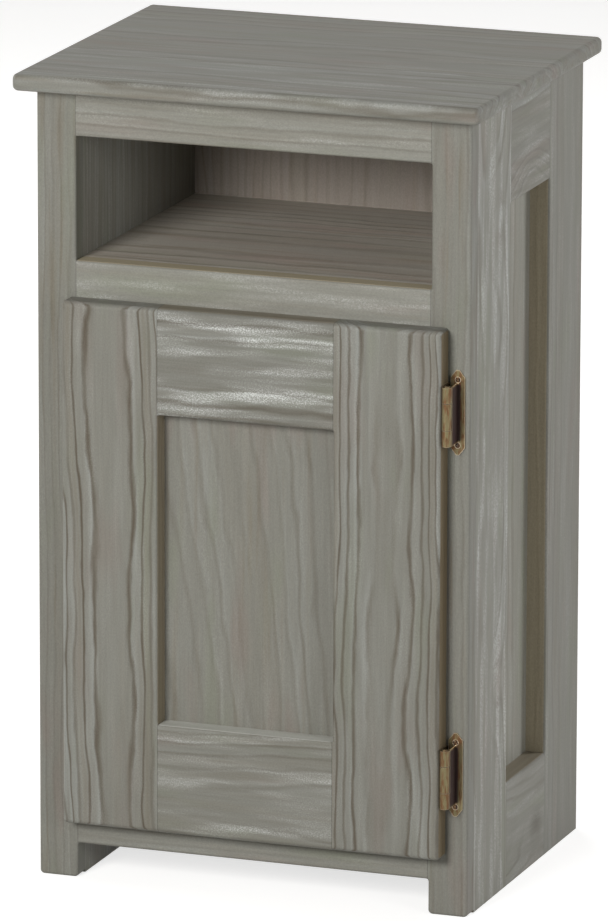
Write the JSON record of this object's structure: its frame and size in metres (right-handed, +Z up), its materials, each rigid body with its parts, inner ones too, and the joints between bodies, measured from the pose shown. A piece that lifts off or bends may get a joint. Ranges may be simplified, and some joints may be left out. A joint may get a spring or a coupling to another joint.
{
  "type": "storage side table",
  "caption": "Narrow wooden side table with an overhanging top, an open cubby and a framed overlay door on brass side hinges.",
  "frame": {"origin": "on the floor, under the middle of the top", "axes": "+Z up, front with the door towards -Y, +X to the viewer's right when facing the front"},
  "size_m": [0.45, 0.356, 0.762],
  "materials": {
    "grey_pine": "grey stain under satin lacquer",
    "grey_panel": "grey stain under satin lacquer",
    "antique_brass": "antique, satin",
    "dowel_beech": "raw",
    "plated_steel": "zinc plated",
    "bumper_rubber": "matte"
  },
  "bodies": {
    "carcass": {"top_plank_1": "grey_pine", "top_plank_2": "grey_pine", "top_plank_3": "grey_pine", "face_stile_left": "grey_pine", "face_stile_right": "grey_pine", "face_top_rail": "grey_pine", "face_middle_rail": "grey_pine", "face_bottom_rail": "grey_pine", "side_left_front_stile": "grey_pine", "side_left_rear_stile": "grey_pine", "side_left_top_rail": "grey_pine", "side_left_bottom_rail": "grey_pine", "side_left_panel": "grey_pine", "side_right_front_stile": "grey_pine", "side_right_rear_stile": "grey_pine", "side_right_top_rail": "grey_pine", "side_right_bottom_rail": "grey_pine", "side_right_panel": "grey_pine", "cubby_shelf": "grey_pine", "cabinet_floor": "grey_pine", "shelf_cleat_left": "grey_pine", "shelf_cleat_right": "grey_pine", "floor_cleat_left": "grey_pine", "floor_cleat_right": "grey_pine", "top_cleat_left": "grey_pine", "top_cleat_right": "grey_pine", "back_panel": "grey_panel", "hinge_upper_frame_leaf": "antique_brass", "hinge_upper_pin": "antique_brass", "hinge_lower_frame_leaf": "antique_brass", "hinge_lower_pin": "antique_brass", "face_frame_dowels": "dowel_beech", "carcass_dowels": "dowel_beech", "cleat_screws": "plated_steel", "back_brads": "plated_steel", "hinge_frame_screws": "antique_brass"},
    "door": {"door_stile_left": "grey_pine", "door_stile_right": "grey_pine", "door_top_rail": "grey_pine", "door_bottom_rail": "grey_pine", "door_panel": "grey_panel", "hinge_upper_door_leaf": "antique_brass", "hinge_lower_door_leaf": "antique_brass", "door_dowels": "dowel_beech", "door_panel_brads": "plated_steel", "hinge_door_screws": "antique_brass", "door_bumpers": "bumper_rubber"}
  },
  "joints": [
    {"name": "door_hinge", "type": "hinge", "parent": "carcass", "child": "door", "pos_m": [0.19435, -0.1725, 0.3055], "axis": [0, 0, 1], "range_deg": [0, 170]}
  ]
}
